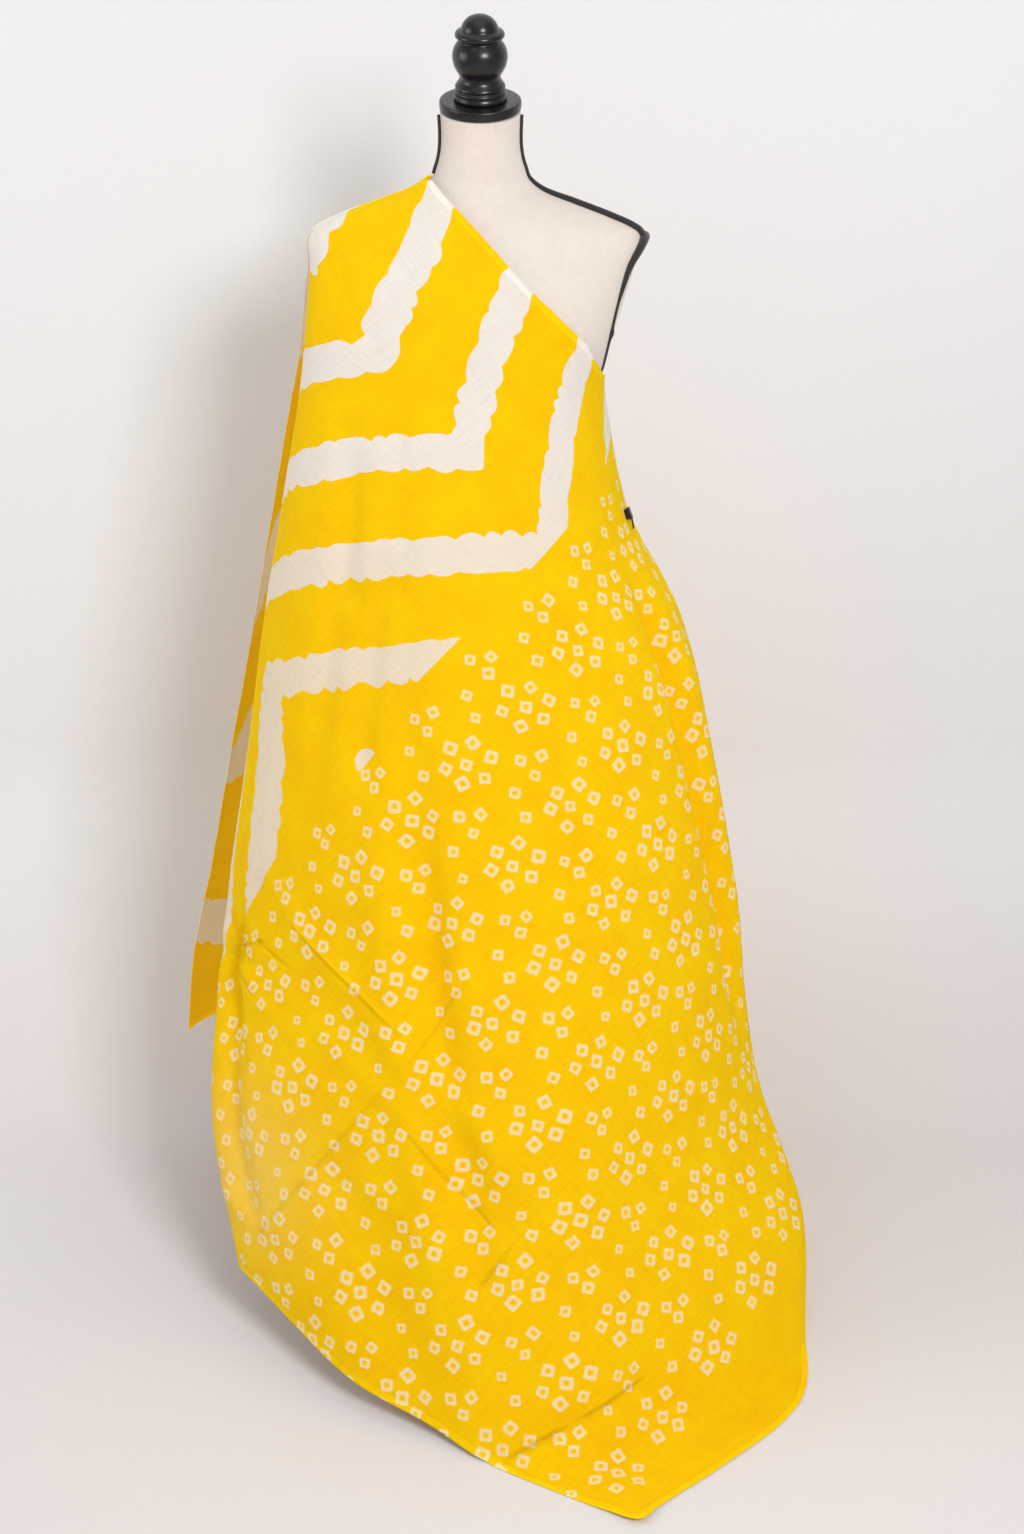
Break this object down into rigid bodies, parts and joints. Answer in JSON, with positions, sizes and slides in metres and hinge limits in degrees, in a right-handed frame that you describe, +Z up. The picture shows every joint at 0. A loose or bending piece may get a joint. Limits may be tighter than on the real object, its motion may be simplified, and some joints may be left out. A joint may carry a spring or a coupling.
{
  "type": "mulmul sari on dress form",
  "caption": "Fine cotton sari with zigzag stripes and tied dots, draped over one shoulder of a linen dress form and down to the floor.",
  "frame": {"origin": "middle of the stand's base, on the surface that the part stands on", "axes": "+Z up, -Y towards the front of the form, +X towards the viewer's right"},
  "size_m": [0.8273, 0.9829, 1.5455],
  "materials": {
    "muslin": "sheer plain-woven cotton, matte",
    "linen": "fine linen, matte",
    "piping": "cotton piping, matte",
    "lacquer": "satin black lacquer on turned wood",
    "clip_metal": "black enamel"
  },
  "bodies": {
    "root": {"sari": "muslin", "torso": "linen", "neck_plate": "lacquer", "finial": "lacquer", "piping_right": "piping", "piping_left": "piping", "piping_armhole": "piping", "pole": "lacquer", "base": "lacquer", "clip": "clip_metal", "clip_prong_1": "clip_metal", "clip_prong_2": "clip_metal", "clip_prong_3": "clip_metal"}
  },
  "joints": []
}
